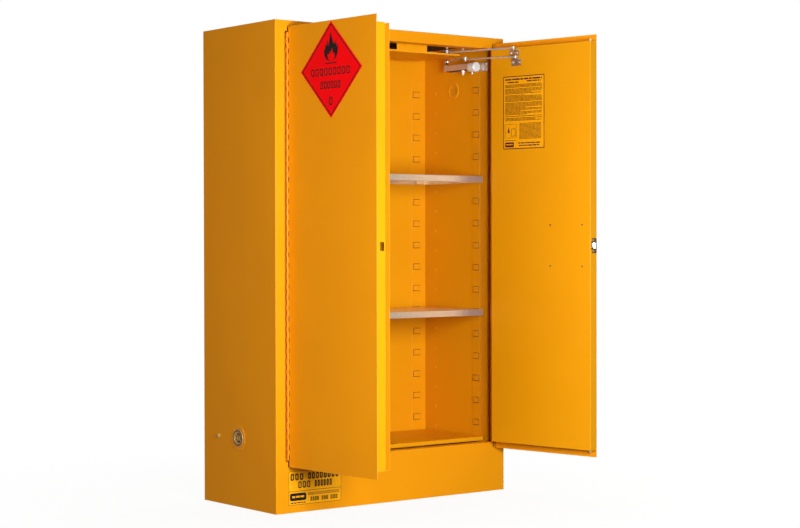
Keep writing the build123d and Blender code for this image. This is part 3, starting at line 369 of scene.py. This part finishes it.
# ------------------------------------------------------------------ shapes
class Shape:
    """Collects vertices and faces, with a material for each face, and makes one mesh piece of them."""

    def __init__(self, *materials):
        self.points, self.faces, self.kinds, self.soft = [], [], [], []
        self.materials = materials

    def add(self, points, faces, kind=0, at=None, soft=False):
        start = len(self.points)
        for p in points:
            self.points.append(at @ Vector(p) if at else Vector(p))
        for f in faces:
            self.faces.append([start + i for i in f])
            self.kinds.append(kind)
            self.soft.append(soft)

    def slab(self, outline, low, high, kind=0, at=None):
        """A flat shape with an outline in x and y, between two heights along z."""
        count = len(outline)
        points = [(x, y, low) for x, y in outline] + [(x, y, high) for x, y in outline]
        faces = [[count + i for i in range(count)], [count - 1 - i for i in range(count)]]
        faces += [[i, (i + 1) % count, count + (i + 1) % count, count + i] for i in range(count)]
        self.add(points, faces, kind, at)

    def box(self, low, high, kind=0, at=None):
        outline = [(low[0], low[1]), (high[0], low[1]), (high[0], high[1]), (low[0], high[1])]
        self.slab(outline, low[2], high[2], kind, at)

    def band(self, outer, inner, low, high, kind=0, at=None):
        """A flat band between two outlines that have the same number of points, open below."""
        count = len(outer)
        points = []
        for z in (low, high):
            points += [(x, y, z) for x, y in outer] + [(x, y, z) for x, y in inner]
        faces = []
        for i in range(count):
            j = (i + 1) % count
            faces.append([2 * count + i, 2 * count + j, 3 * count + j, 3 * count + i])
            faces.append([i, j, 2 * count + j, 2 * count + i])
            faces.append([count + j, count + i, 3 * count + i, 3 * count + j])
        self.add(points, faces, kind, at)

    def lathe(self, profile, segments, kind=0, at=None, soft=True):
        """A solid of revolution about z from (radius, height) pairs, with a flat cap at each end."""
        points = []
        for r, z in profile:
            points += [(x, y, z) for x, y in circle(r, segments)]
        faces = []
        for k in range(len(profile) - 1):
            for i in range(segments):
                j = (i + 1) % segments
                a, b = k * segments, (k + 1) * segments
                faces.append([a + i, a + j, b + j, b + i])
        self.add(points, faces, kind, at, soft)
        last = (len(profile) - 1) * segments
        caps = [[segments - 1 - i for i in range(segments)], [last + i for i in range(segments)]]
        self.add(points, caps, kind, at)

    def piece(self, name, body, slot=None, bevel=0.0):
        """Makes the mesh, which rides on a body. The slot argument is not used."""
        mesh = bpy.data.meshes.new(name)
        mesh.from_pydata([tuple(p * MM) for p in self.points], [], self.faces)
        for material in self.materials:
            mesh.materials.append(material)
        for face, kind, soft in zip(mesh.polygons, self.kinds, self.soft):
            face.material_index = kind
            face.use_smooth = soft
        mesh.validate()
        thing = bpy.data.objects.new(name, mesh)
        scene.collection.objects.link(thing)
        if bevel:
            rounding = thing.modifiers.new("rounding", "BEVEL")
            rounding.width = bevel * MM
            rounding.segments = 2
            rounding.limit_method = "ANGLE"
            rounding.angle_limit = math.radians(35)
        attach(thing, body)
        return thing


def circle(radius, steps):
    """The outline of a circle, anticlockwise."""
    angles = [2 * math.pi * i / steps for i in range(steps)]
    return [(radius * math.cos(a), radius * math.sin(a)) for a in angles]


def diamond(half):
    return [(0, -half), (half, 0), (0, half), (-half, 0)]


def rounded(x0, y0, x1, y1, radius, steps=6):
    """The outline of a rectangle with round corners, anticlockwise."""
    points = []
    for cx, cy, start in (
        (x1 - radius, y0 + radius, -90), (x1 - radius, y1 - radius, 0),
        (x0 + radius, y1 - radius, 90), (x0 + radius, y0 + radius, 180),
    ):
        for i in range(steps + 1):
            a = math.radians(start + 90 * i / steps)
            points.append((cx + radius * math.cos(a), cy + radius * math.sin(a)))
    return points


def frame_of(origin, x, y):
    """A placement in millimetres from an origin and two directions; z is their normal."""
    x, y = Vector(x).normalized(), Vector(y).normalized()
    z = x.cross(y)
    return Matrix((
        (x.x, y.x, z.x, origin[0]), (x.y, y.y, z.y, origin[1]), (x.z, y.z, z.z, origin[2]), (0, 0, 0, 1)
    ))


def door_face(side, inner, depth):
    """A placement on a door's outer or inner face, and the sign of its x.

    z points away from the sheet and y up. x runs from the hinge to the free edge if the sign is 1.
    """
    angle = math.radians(OPENING[side])
    along = Vector((-side * math.cos(angle), -math.sin(angle), 0))
    inward = Vector((-side * math.sin(angle), math.cos(angle), 0))
    origin = Vector((side * HINGE_X, HINGE_Y, 0)) + inward * depth
    sign = 1 if (side == LEFT) != inner else -1
    return frame_of(origin, along * sign, (0, 0, 1)), sign


def door_box(shape, side, across, through, z):
    """A box on a door from spans along its width, through its thickness and in height."""
    place, sign = door_face(side, False, 0.0)
    x = sorted(sign * value for value in across)
    shape.box((x[0], z[0], -through[1]), (x[1], z[1], -through[0]), 0, place)


def side_box(shape, side, x, y, z, kind=0):
    """A box on one side of the cabinet, from spans of distance from the middle, depth and height."""
    a, b = sorted(side * value for value in x)
    shape.box((a, y[0], z[0]), (b, y[1], z[1]), kind)


def upright_at(x, y):
    """A placement on a vertical axis; heights along it are heights in the frame."""
    return Matrix.Translation((x, y, 0))


def wall_at(side, x, y, z, outward):
    """A placement on a side wall, whose z looks outwards from the cabinet or inwards."""
    turn = side if outward else -side
    return frame_of((side * x, y, z), (0, turn, 0), (0, 0, 1))


# ------------------------------------------------------------------ printed signs
class Sign(Shape):
    """A printed sign in three layers, each from a low to a high: the film, print, and print on print."""

    def __init__(self, place, layers, *materials):
        super().__init__(*materials)
        self.place = place
        self.film, self.print, self.over = layers

    def area(self, outline, layer, kind):
        self.slab(outline, *layer, kind, self.place)

    def line(self, outer, inner, kind):
        self.band(outer, inner, *self.print, kind, self.place)

    def bar(self, x0, x1, y, height, kind, layer=None):
        low, high = layer or self.print
        self.box((x0, y, low), (x1, y + height, high), kind, self.place)

    def words(self, x0, x1, y, height, kind, longest, gap, layer=None):
        """A row of short bars that stands for a line of print."""
        width = x1 - x0
        x = x0
        while x < x1 - 0.02 * width:
            length = min(width * dice.uniform(0.06, longest), x1 - x)
            self.bar(x, x + length, y, height, kind, layer)
            x += length + width * gap

    def blocks(self, x0, x1, y, height, count, kind, stroke):
        """A row of small open boxes that stands for a word in large print."""
        step = (x1 - x0) / count
        for i in range(count):
            x, wide = x0 + i * step, step * 0.74
            outer = rounded(x, y, x + wide, y + height, stroke, 3)
            inner = rounded(x + stroke, y + stroke, x + wide - stroke, y + height - stroke, stroke / 3, 3)
            self.line(outer, inner, kind)


# The materials of a sign, by number, and the heights of its layers on a door and on a label.
FILM, BORDER, INK = 0, 1, 2
SIGN_LAYERS = (0.02, 0.35), (0.3, 0.5), (0.45, 0.62)
LABEL_LAYERS = (0.02, 0.25), (0.2, 0.4), (0.35, 0.5)

# A plain flame with five tongues, and the hollow at its foot, about the middle of the sign.
FLAME = [
    (12, 30), (30, 42), (38, 60), (39, 92), (32, 78), (30, 110), (23, 88), (17, 104), (13, 90),
    (9, 108), (-3, 138), (-6, 116), (-15, 84), (-19, 110), (-25, 86), (-33, 92), (-31, 72), (-40, 78),
    (-37, 54), (-28, 38), (-12, 30),
]
FLAME_HOLLOW = [
    (10, 31), (22, 44), (19, 62), (13, 52), (6, 78), (1, 56), (-7, 68), (-9, 52), (-20, 58), (-18, 42),
    (-9, 31),
]


def door_sign():
    """The red diamond on the left door, with a plain flame and open boxes."""
    place, _ = door_face(LEFT, False, SKIN_FACE)
    centre = Matrix.Translation((254.4, 1624.0, 0))
    sign = Sign(place @ centre, SIGN_LAYERS, red_ink, border_ink, black_ink)
    sign.area(diamond(174.5), sign.film, FILM)
    sign.line(diamond(166), diamond(160), BORDER)
    sign.area(FLAME, sign.print, INK)
    sign.area(FLAME_HOLLOW, sign.over, FILM)
    sign.bar(-32, 30, 21.5, 3.5, INK)
    sign.blocks(-114, 112, -20, 27, 9, INK, 4.4)
    sign.blocks(-60, 58, -68, 27, 6, INK, 4.2)
    sign.blocks(-11, 15, -127, 29, 1, INK, 5.0)
    sign.piece("hazard_sign", "door_left")


def capacity_label():
    """The label on the sill, with open boxes and bars in place of words."""
    place = frame_of((0, FRONT, 0), (1, 0, 0), (0, 0, 1))
    label = Sign(place, LABEL_LAYERS, label_film, border_ink, black_ink)
    label.area(rounded(-501, 27, -259, 156, 4), label.film, FILM)
    label.line(rounded(-500, 28, -260, 155, 4), rounded(-498.6, 29.4, -261.4, 153.6, 3), BORDER)
    label.bar(-499, -261, 78.2, 1.6, BORDER)
    for x0, x1, count in ((-491, -428, 3), (-412, -268, 8)):
        label.blocks(x0, x1, 120, 25, count, INK, 5.2)
    for x0, x1, count in ((-456, -397, 3), (-382, -300, 6)):
        label.blocks(x0, x1, 90, 25, count, INK, 4.4)
    label.area(rounded(-494, 44, -420, 72, 8), label.print, INK)
    label.words(-484, -430, 55, 7, FILM, 0.5, 0.06, label.over)
    label.words(-490, -424, 34, 4.0, BORDER, 0.3, 0.05)
    label.blocks(-412, -268, 61, 10, 16, BORDER, 1.6)
    for x0, x1, count in ((-401, -361, 4), (-350, -318, 3), (-309, -275, 3)):
        label.blocks(x0, x1, 38, 16, count, INK, 3.0)
    label.piece("capacity_label", "carcass")


def instruction_label():
    """The sheet of rules on the inside of the right door, with fine bars in place of print."""
    place, _ = door_face(RIGHT, True, PAN_INNER)
    label = Sign(place, LABEL_LAYERS, label_film, border_ink, brown_ink)
    x0, x1, y0, y1 = 75.0, 284.0, 1371.0, 1662.0
    left, right = x0 + 11, x1 - 13

    def inset(margin, radius):
        return rounded(x0 + margin, y0 + margin, x1 - margin, y1 - margin, radius)

    label.area(inset(0, 3), label.film, FILM)
    label.line(inset(1, 3), inset(4.4, 2), BORDER)

    # The heading, and the lines of the rules, some of them short and some after a wider gap.
    label.words(left, right, y1 - 17, 6.0, BORDER, 0.24, 0.02)
    label.words(left + 8, left + 68, y1 - 28, 5.0, INK, 0.5, 0.05)
    label.words(right - 76, right - 6, y1 - 26, 5.0, INK, 0.5, 0.05)
    y = y1 - 37
    while y > y1 - 184:
        share = 1.0 if dice.random() < 0.7 else dice.uniform(0.4, 0.9)
        label.words(left, left + (right - left) * share, y, 2.3, INK, 0.16, 0.012)
        y -= 4.5 if dice.random() < 0.8 else 7.5

    # A small drawing in a box, with the text beside it and below it.
    label.line(
        rounded(left, y0 + 45, left + 58, y0 + 100, 3),
        rounded(left + 1, y0 + 46, left + 57, y0 + 99, 2), INK,
    )
    label.area([(left + 12, y0 + 66), (left + 24, y0 + 66), (left + 18, y0 + 90)], label.print, INK)
    label.line(
        rounded(left + 30, y0 + 52, left + 52, y0 + 82, 2),
        rounded(left + 32, y0 + 54, left + 50, y0 + 80, 1), INK,
    )
    y = y0 + 100
    while y > y0 + 36:
        label.words(left + 72, right - 4, y, 2.2, INK, 0.22, 0.02)
        y -= 4.6
    label.words(left, left + 54, y0 + 34, 2.4, INK, 0.3, 0.03)

    # The plain block at the foot, and two lines beside it.
    label.area(rounded(left, y0 + 9, left + 44, y0 + 28, 3), label.print, BORDER)
    label.words(left + 6, left + 38, y0 + 17, 5, FILM, 0.4, 0.06, label.over)
    label.words(left + 66, right - 10, y0 + 22, 4.5, BORDER, 0.3, 0.03)
    label.words(left + 70, right - 14, y0 + 12, 5.0, BORDER, 0.3, 0.03)
    label.piece("instruction_label", "door_right")


# ------------------------------------------------------------------ small parts
def hinge_details(side, name):
    """Painted shade in the notches where the knuckles pass the door's edge, painted shadows at the ends of
    the barrel and on the header and sill behind the door's edge, and a painted strip of shade beside the
    barrel."""
    row = (HINGE_TOP - HINGE_BOTTOM) / KNUCKLES
    notches = Shape(looks["shadow_paint"])
    for pair in range(KNUCKLES // 2):
        z = HINGE_BOTTOM + 2 * pair * row
        door_box(notches, side, (2.9, 7.1), (4.8, 5.8), (z + 0.4, z + row - 0.4))
    notches.piece(f"hinge_notch_shadows_{name}", f"door_{name}", "zinc_hinge")

    ends = Shape(looks["shadow_paint"])
    for z0, z1 in ((HINGE_TOP + 0.6, HINGE_TOP + 5.2), (HINGE_BOTTOM - 3.6, HINGE_BOTTOM - 0.6)):
        ends.lathe([(4.1, z0), (4.1, z1)], 24, 0, upright_at(side * HINGE_X, HINGE_Y), False)
        side_box(ends, side, (HINGE_X, REVEAL - 0.1), (HINGE_Y + 2, FRONT - 0.05), (z0, z1))
    # Painted shadows on the header and the sill, behind the door's edge.
    for z0, z1 in ((HINGE_TOP + 5.4, SKIN_TOP), (SKIN_BOTTOM, HINGE_BOTTOM - 3.8)):
        side_box(ends, side, (496.6, 501.4), (FRONT - 0.2, FRONT + 0.1), (z0, z1))
    ends.piece(f"hinge_end_shadows_{name}", "carcass", "zinc_hinge")

    strip = Shape(looks["recess_shade_paint"])
    side_box(strip, side, (507.7, 510.7), (FRONT + 0.1, FRONT + 1.0), (HINGE_BOTTOM, HINGE_TOP))
    side_box(strip, side, (511.0, 515.0), (FRONT - 0.15, FRONT + 0.3), (HINGE_BOTTOM, HINGE_TOP))
    strip.piece(f"hinge_shade_strip_{name}", "carcass", "yellow_hinge")


def painted_seams():
    """The filled and painted joints of the header and the sill with the sides."""
    seams = Shape(looks["seam_paint"])
    for side in (LEFT, RIGHT):
        for z0, z1 in ((HINGE_TOP + 3.0, TOP - 2.2), (2.0, HINGE_BOTTOM - 3.0)):
            side_box(seams, side, (511.0, 514.2), (FRONT - 0.12, FRONT + 0.2), (z0, z1))
    seams.piece("painted_seams", "carcass", "yellow_outer")


def tab_slot_shadows():
    """Painted shadow in the lanced slots round every tab of the uprights."""
    shape = Shape(looks["shadow_paint"])
    x, y, gap = TAB_WIDTH / 2, TAB_HEIGHT / 2, 1.8
    outer = rounded(-x - gap, -y - gap, x + gap, y + gap, 1.5, 2)
    inner = rounded(-x, -y, x, y, 1.0, 2)
    for name in ("upright_front_left", "upright_front_right", "upright_back_left", "upright_back_right"):
        low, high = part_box(name)
        middle = (low + high) / 2 / MM
        for i in range(TAB_COUNT):
            z = TAB_FIRST + TAB_PITCH * i
            if "back" in name:
                place = frame_of((middle.x, low.y / MM + TAB_PROUD, z), (1, 0, 0), (0, 0, 1))
            elif "right" in name:
                place = frame_of((low.x / MM + TAB_PROUD, middle.y, z), (0, -1, 0), (0, 0, 1))
            else:
                place = frame_of((high.x / MM - TAB_PROUD, middle.y, z), (0, 1, 0), (0, 0, 1))
            shape.band(outer, inner, -0.1, 0.15, 0, place)
    shape.piece("tab_slot_shadows", "carcass", "yellow_inner")


def channel():
    """The folded cover under the ceiling, closed below, with bolts in it and a dark plate of painted shade
    behind its windows.
    """
    half, front, back, bottom, sheet = 410.0, -150.0, 130.0, 1755.0, 1.2
    cover = Shape(looks["yellow_inner"])
    cover.box((-half, front, bottom), (half, front + sheet, bottom + 7))
    cover.box((-half, front, CEILING - 3), (half, front + sheet, CEILING))
    for x0, x1 in ((-240, -88), (88, 240)):
        cover.box((x0, front, bottom + 7), (x1, front + sheet, CEILING - 3))
    cover.box((-half, front + sheet, bottom), (half, back, bottom + sheet))
    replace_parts(cover.piece("channel_cover", "carcass", "yellow_inner"), "closer_channel")

    # A dark plate of painted shade under the ceiling, seen through the windows.
    plate = Shape(looks["dark_steel"])
    plate.box((-half, front + 1.4, CEILING - 1.4), (half, back - 10, CEILING - 0.2))
    plate.piece("channel_shadow_plate", "carcass", "yellow_inner")

    bolts = Shape(looks["bright_steel"])
    profile = [(2.5, CEILING - 13.5), (4.4, CEILING - 12.2), (4.6, CEILING)]
    for side in (LEFT, RIGHT):
        for x, y in ((316.0, 69.0), (404.0, 74.0)):
            bolts.lathe(profile, 20, 0, upright_at(side * x, FRONT + y))
    bolts.piece("ceiling_bolts", "carcass", "bright_steel")


def closer(side, name):
    """A closer on the side wall: painted bar with a painted shadow under it, bright cylinder with a cap,
    mounting plate and adjusters.
    """
    painted, bright, steel, dark = range(4)
    shape = Shape(looks["closer_metal"], looks["silver"], looks["bright_steel"], looks["dark_steel"])

    # Each box from distances from the middle, distances behind the front, and heights.
    for x, y, z, kind in (
        ((511.2, 514.9), (64, 280), (1706, 1735), painted),
        ((507.0, 511.8), (42, 130), (1697, 1733), painted),
        ((500.0, 511.3), (96, 276), (1707.5, 1730), painted),
        ((470.0, 506.0), (126, 278), (1709, 1731.5), painted),
        # A thin dark box of painted shadow under the bar.
        ((476.0, 504.0), (130, 270), (1706.5, 1709.2), dark),
    ):
        side_box(shape, side, x, (FRONT + y[0], FRONT + y[1]), z, kind)

    # The cylinder along the wall, with a groove, and the hexagon in its front end.
    along = frame_of((side * 486.5, FRONT + 84, 1716), (0, 0, 1), (1, 0, 0))
    profile = [
        (8, 0), (15, 0.5), (18.6, 2.5), (20.2, 6), (20.2, 13), (19.4, 14), (19.4, 16), (20.2, 17),
        (20.2, 40), (18.4, 45), (14, 47), (9, 47),
    ]
    shape.lathe(profile, 40, bright, along)
    shape.lathe([(3.5, -1.5), (5.5, -1.3), (6, 0.5), (6, 3)], 6, steel, along, False)

    # The knob and the screw below, then the spindle up to the arm, its cap and its collar.
    knob = upright_at(side * 486.0, FRONT + 172)
    shape.lathe([(2.6, 1688), (3.6, 1689), (7.4, 1703), (7.4, 1708)], 24, bright, knob)
    screw = upright_at(side * 486.0, FRONT + 115)
    shape.lathe([(2.0, 1686), (3.0, 1687), (3.0, 1697)], 16, steel, screw)
    spindle = upright_at(side * 478.0, FRONT + 266)
    cap = ARM_TOP + 0.4
    profile = [(5.0, 1731), (5.0, cap), (8.0, cap), (8.0, ARM_TOP + 2.2), (7.0, ARM_TOP + 3)]
    shape.lathe(profile, 28, dark, spindle)
    shape.lathe([(9.0, 1731), (9.0, 1733.5), (8.0, 1734.2), (5.0, 1734.2)], 28, painted, spindle)

    # The four screws of the mounting plate.
    for y in (50.0, 70.0):
        for z in (1703.0, 1727.0):
            at = wall_at(side, 507.1, FRONT + y, z, outward=False)
            shape.lathe([(4.5, 0), (4.5, 1.2), (3.2, 2.4), (1.5, 2.6)], 20, steel, at)
    thing = shape.piece(f"closer_unit_{name}", "carcass", "closer_metal", 0.8)
    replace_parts(thing, f"closer_body_{name}")


def vent_details():
    """The shadow gap round each bung, and the shadow at the foot of its recess."""
    shape = Shape(looks["shadow_paint"])
    for side, behind, z in VENTS:
        at = wall_at(side, SIDE, FRONT + behind, z, outward=True)
        for outer, inner, low, high in ((29.5, 25.7, 2.9, 3.15), (19.3, 13.2, -11.9, -11.6)):
            shape.band(circle(outer, 48), circle(inner, 48), low, high, 0, at)
    shape.piece("vent_details", "carcass", "brass")


def wall_spots():
    """The spot welds that hold the liner, as small dimples under the paint."""
    spots = Shape(looks["weld_paint"])
    for side in (LEFT, RIGHT):
        for z in range(230, 1700, 82):
            at = wall_at(side, INNER_SIDE + 0.05, 137.0, z, outward=False)
            spots.lathe([(5.4, 0), (5.0, 0.5), (2.6, 0.7), (1.0, 0.3)], 18, 0, at)
    spots.piece("weld_spots", "carcass", "yellow_inner")


door_sign()
capacity_label()
instruction_label()
for side, name in ((LEFT, "left"), (RIGHT, "right")):
    hinge_details(side, name)
    closer(side, name)
painted_seams()
tab_slot_shadows()
channel()
vent_details()
wall_spots()


# ------------------------------------------------------------------ stage, light and camera
def stage_floor():
    """A pale floor that fades into the white background with distance."""
    half, drop = 40, 0.0005
    n = Nodes("floor_paint")
    tint = n.mix(n.ramp(n.noise(1.5, 3.0), 0.3, 0.7), rgb(0.86, 0.86, 0.86), rgb(0.89, 0.89, 0.885))
    n.set(Base_Color=tint, Roughness=0.6, Normal=n.bump(n.noise(120.0), 0.05, 0.001))
    white = n.add("ShaderNodeEmission", {"Color": rgb(1, 1, 1), "Strength": 1.0})
    far = n.add("ShaderNodeVectorMath", {0: n.place()}, operation="LENGTH").outputs["Value"]
    share = n.ramp(far, 0.8, 2.0, 0.92, 1.0)
    blend = n.add("ShaderNodeMixShader", {0: share, 1: n.shader, 2: white})
    n.put(n.tree.nodes["Material Output"], "Surface", blend)
    mesh = bpy.data.meshes.new("floor")
    corners = [(-half, -half, 0), (half, -half, 0), (half, half, 0), (-half, half, 0)]
    mesh.from_pydata(corners, [], [[0, 1, 2, 3]])
    mesh.materials.append(n.material)
    floor = bpy.data.objects.new("floor", mesh)
    floor.location.z = -drop
    scene.collection.objects.link(floor)
    floor.visible_diffuse = False
    floor.visible_glossy = False


def soft_light(name, place, target, size, power, colour=(1, 1, 1), shiny=True):
    """A rectangular lamp aimed at a target, which bright surfaces mirror only if it is shiny."""
    data = bpy.data.lights.new(name, "AREA")
    data.shape = "RECTANGLE"
    data.size, data.size_y = size
    data.energy = power
    data.color = colour
    lamp = bpy.data.objects.new(name, data)
    lamp.location = place
    lamp.rotation_euler = (Vector(target) - Vector(place)).to_track_quat("-Z", "Y").to_euler()
    lamp.visible_glossy = shiny
    scene.collection.objects.link(lamp)


def white_room(ambient):
    """A white background for the camera and a dimmer white glow for everything else."""
    world = bpy.data.worlds.new("studio")
    world.use_nodes = True
    scene.world = world
    tree = world.node_tree
    back = tree.nodes["Background"]
    path = tree.nodes.new("ShaderNodeLightPath")
    pick = tree.nodes.new("ShaderNodeMix")
    pick.data_type = "FLOAT"
    tree.links.new(path.outputs["Is Camera Ray"], pick.inputs[0])
    pick.inputs[2].default_value = ambient
    pick.inputs[3].default_value = 1.0
    tree.links.new(pick.outputs[0], back.inputs["Strength"])
    back.inputs["Color"].default_value = (1, 1, 1, 1)


def view_camera(place, yaw, pitch, roll, lens):
    """The scene's camera, from angles in degrees: yaw to the right of the back, pitch up, and roll."""
    data = bpy.data.cameras.new("camera")
    data.lens = lens
    data.sensor_width = 36.0
    data.clip_end = 100.0
    camera = bpy.data.objects.new("camera", data)
    scene.collection.objects.link(camera)
    camera.matrix_world = (
        Matrix.Translation(place)
        @ Matrix.Rotation(math.radians(-yaw), 4, "Z")
        @ Matrix.Rotation(math.radians(90 + pitch), 4, "X")
        @ Matrix.Rotation(math.radians(roll), 4, "Z")
    )
    scene.camera = camera


stage_floor()
white_room(0.12)
soft_light("key", (-1.1, -3.4, 1.15), (0.0, -0.25, 0.95), (1.1, 1.3), 138, (0.98, 1.02, 0.93))
soft_light("side", (-3.6, -1.6, 1.1), (-0.5, -0.1, 0.95), (1.4, 1.6), 48, (1.0, 0.89, 0.86))
soft_light("right", (4.2, 0.7, 1.6), (0.5, 0.1, 0.9), (2.2, 2.2), 110)
soft_light("top", (0.4, 0.7, 4.6), (0.2, 0.3, 1.8), (1.4, 1.4), 60, shiny=False)
soft_light("back", (1.3, 4.6, 1.8), (0.0, 0.2, 0.9), (2.6, 2.2), 140, shiny=False)
view_camera((-4.2862, -5.8172, 1.0121), yaw=37.748, pitch=-0.754, roll=-0.098, lens=81.772)
scene.view_settings.view_transform = "Standard"
